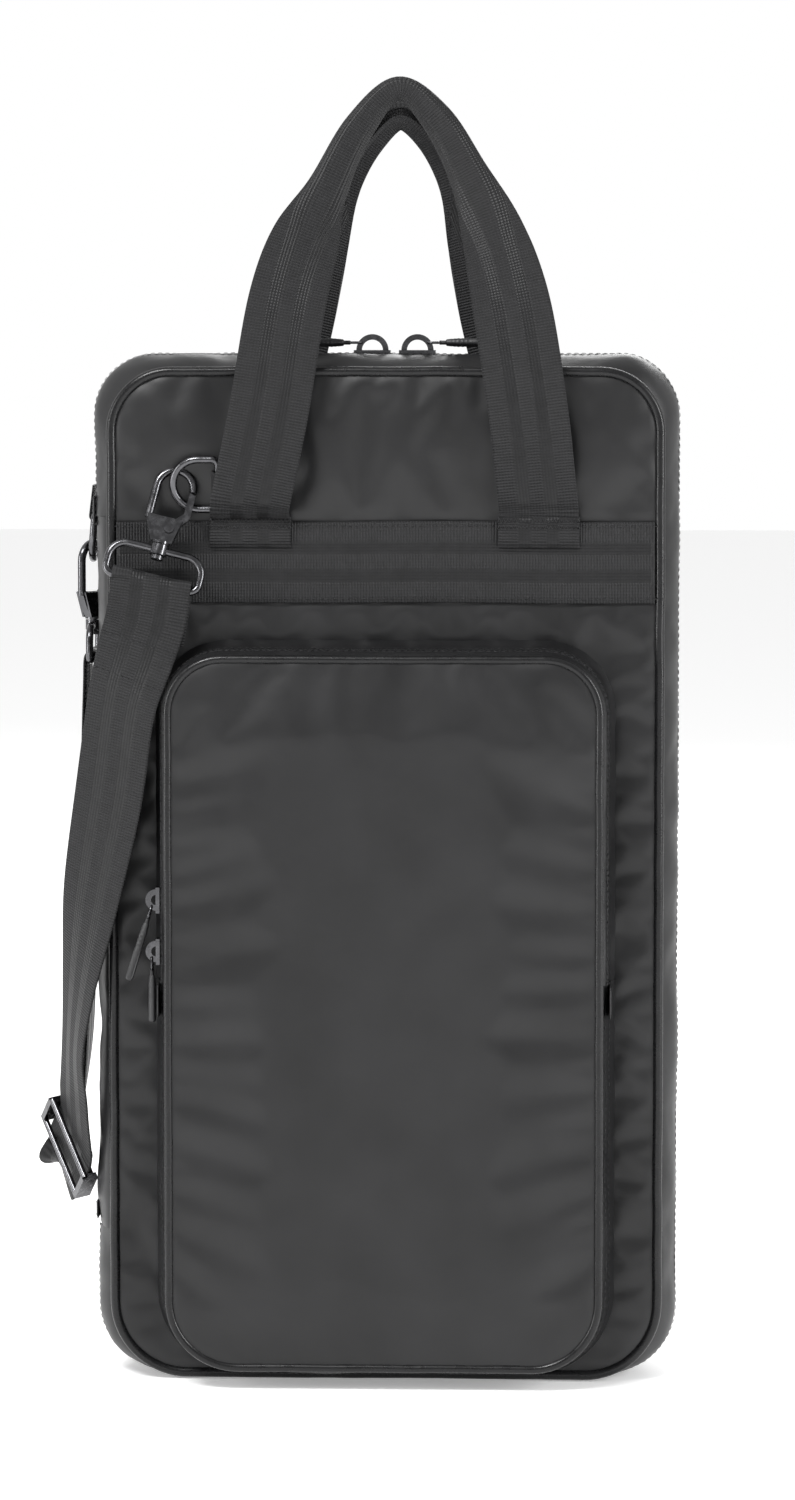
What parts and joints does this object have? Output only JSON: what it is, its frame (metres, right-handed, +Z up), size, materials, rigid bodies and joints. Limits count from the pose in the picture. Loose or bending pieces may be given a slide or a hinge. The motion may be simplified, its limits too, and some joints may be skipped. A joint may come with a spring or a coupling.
{
  "type": "drum stick bag",
  "caption": "Upright zipped stick bag in black coated vinyl with a zipped front pocket, webbing handles and a clip-on shoulder strap.",
  "frame": {"origin": "on the base, under the middle of the body's width and depth", "axes": "+X right seen from the front, front faces -Y, +Z up"},
  "size_m": [0.3104, 0.1055, 0.61],
  "materials": {
    "vinyl": "satin coated vinyl, fine grain",
    "piping": "smooth gloss cord",
    "webbing": "ribbed woven webbing",
    "lining": "matte woven lining",
    "foam": "matte closed-cell foam",
    "zip_teeth": "moulded, satin",
    "hardware": "black nickel, gloss",
    "pull_rubber": "satin moulded"
  },
  "bodies": {
    "back_half": {"back_panel": "vinyl", "back_gusset": "vinyl", "back_piping": "piping", "back_foam": "foam", "back_lining": "lining", "stick_sleeves": "lining", "sleeve_binding": "webbing", "zip_tape_back": "webbing", "zip_teeth_back": "zip_teeth", "back_band": "webbing"},
    "front_half": {"front_panel": "vinyl", "front_gusset": "vinyl", "spine_panel": "vinyl", "front_piping": "piping", "front_foam": "foam", "front_lining": "lining", "mallet_pocket": "lining", "zip_tape_front": "webbing", "zip_teeth_front": "zip_teeth", "zip_end_tabs": "vinyl", "front_band": "webbing", "front_ring_tab": "webbing", "spine_ring_tab": "webbing", "pocket_gusset": "vinyl", "pocket_tape_outer": "webbing", "pocket_teeth_outer": "zip_teeth", "pouch_panel": "vinyl", "pouch_piping": "piping", "pocket_end_tabs": "vinyl", "shoulder_strap": "webbing", "strap_glide": "hardware", "strap_loop_a": "hardware", "strap_loop_b": "hardware"},
    "pocket_flap": {"flap_panel": "vinyl", "flap_gusset": "vinyl", "flap_piping": "piping", "pocket_tape_inner": "webbing", "pocket_teeth_inner": "zip_teeth"},
    "front_handle": {"front_handle": "webbing"},
    "back_handle": {"back_handle": "webbing"},
    "hook_a": {"hook_body_a": "hardware", "hook_rivet_a": "hardware"},
    "gate_a": {"hook_gate_a": "hardware"},
    "hook_b": {"hook_body_b": "hardware", "hook_rivet_b": "hardware"},
    "gate_b": {"hook_gate_b": "hardware"},
    "front_ring": {"front_d_ring": "hardware"},
    "spine_ring": {"spine_d_ring": "hardware"},
    "main_slider_left": {"main_slider_left": "hardware"},
    "main_slider_right": {"main_slider_right": "hardware"},
    "main_pull_left": {"main_pull_left": "pull_rubber"},
    "main_pull_right": {"main_pull_right": "pull_rubber"},
    "pocket_slider_upper": {"pocket_slider_upper": "hardware"},
    "pocket_slider_lower": {"pocket_slider_lower": "hardware"},
    "pocket_pull_upper": {"pocket_pull_upper": "pull_rubber"},
    "pocket_pull_lower": {"pocket_pull_lower": "pull_rubber"}
  },
  "joints": [
    {"name": "lid_hinge", "type": "hinge", "parent": "back_half", "child": "front_half", "pos_m": [-0.127, 0.031, 0.2], "axis": [0, 0, -1], "range_deg": [0, 128]},
    {"name": "flap_fold", "type": "hinge", "parent": "front_half", "child": "pocket_flap", "pos_m": [0, -0.0616, 0.19], "axis": [1, 0, 0], "range_deg": [0, 110]},
    {"name": "front_handle_swing", "type": "hinge", "parent": "front_half", "child": "front_handle", "pos_m": [0, -0.0342, 0.403], "axis": [1, 0, 0], "range_deg": [0, 130]},
    {"name": "back_handle_swing", "type": "hinge", "parent": "back_half", "child": "back_handle", "pos_m": [0, 0.0342, 0.403], "axis": [-1, 0, 0], "range_deg": [0, 150]},
    {"name": "hook_a_swivel", "type": "hinge", "parent": "front_half", "child": "hook_a", "pos_m": [-0.104, -0.0445, 0.39], "axis": [0.2326, 0.2756, 0.9327], "range_deg": [-5, 3]},
    {"name": "gate_a_press", "type": "hinge", "parent": "hook_a", "child": "gate_a", "pos_m": [-0.09959, -0.04158, 0.3994], "axis": [0.0667, -0.9613, 0.2674], "range_deg": [0, 10], "stiffness_Nm_per_rad": 0.03, "springref_deg": -11.46},
    {"name": "hook_b_swivel", "type": "hinge", "parent": "front_half", "child": "hook_b", "pos_m": [-0.14, 0.015, 0.352], "axis": [0, 0, 1], "range_deg": [-5, 3]},
    {"name": "gate_b_press", "type": "hinge", "parent": "hook_b", "child": "gate_b", "pos_m": [-0.13885, 0.01664, 0.3626], "axis": [0.8192, -0.5736, 0], "range_deg": [0, 10], "stiffness_Nm_per_rad": 0.03, "springref_deg": -11.46},
    {"name": "front_ring_swing", "type": "hinge", "parent": "front_half", "child": "front_ring", "pos_m": [-0.077, -0.0366, 0.42], "axis": [0, 0.2588, -0.9659], "range_deg": [-3, 0]},
    {"name": "spine_ring_swing", "type": "hinge", "parent": "front_half", "child": "spine_ring", "pos_m": [-0.1382, 0.015, 0.404], "axis": [0, 1, 0], "range_deg": [-2, 1]},
    {"name": "main_left_slide", "type": "slide", "parent": "back_half", "child": "main_slider_left", "axis": [-1, 0, 0], "range_m": [0, 0.085]},
    {"name": "main_right_slide", "type": "slide", "parent": "back_half", "child": "main_slider_right", "axis": [1, 0, 0], "range_m": [0, 0.085]},
    {"name": "main_left_pull_swing", "type": "hinge", "parent": "main_slider_left", "child": "main_pull_left", "pos_m": [-0.01208, -0.007, 0.48516], "axis": [0, 1, 0], "range_deg": [0, 95]},
    {"name": "main_right_pull_swing", "type": "hinge", "parent": "main_slider_right", "child": "main_pull_right", "pos_m": [0.01908, -0.007, 0.48516], "axis": [0, -1, 0], "range_deg": [0, 95]},
    {"name": "pocket_upper_slide", "type": "slide", "parent": "front_half", "child": "pocket_slider_upper", "axis": [0, 0, 1], "range_m": [0, 0.042]},
    {"name": "pocket_lower_slide", "type": "slide", "parent": "front_half", "child": "pocket_slider_lower", "axis": [0, 0, 1], "range_m": [0, 0.008]},
    {"name": "pocket_upper_pull_swing", "type": "hinge", "parent": "pocket_slider_upper", "child": "pocket_pull_upper", "pos_m": [-0.10782, -0.046, 0.22497], "axis": [0, -1, 0], "range_deg": [-60, 0]},
    {"name": "pocket_lower_pull_swing", "type": "hinge", "parent": "pocket_slider_lower", "child": "pocket_pull_lower", "pos_m": [-0.10782, -0.046, 0.20097], "axis": [0, 1, 0], "range_deg": [0, 80]}
  ]
}
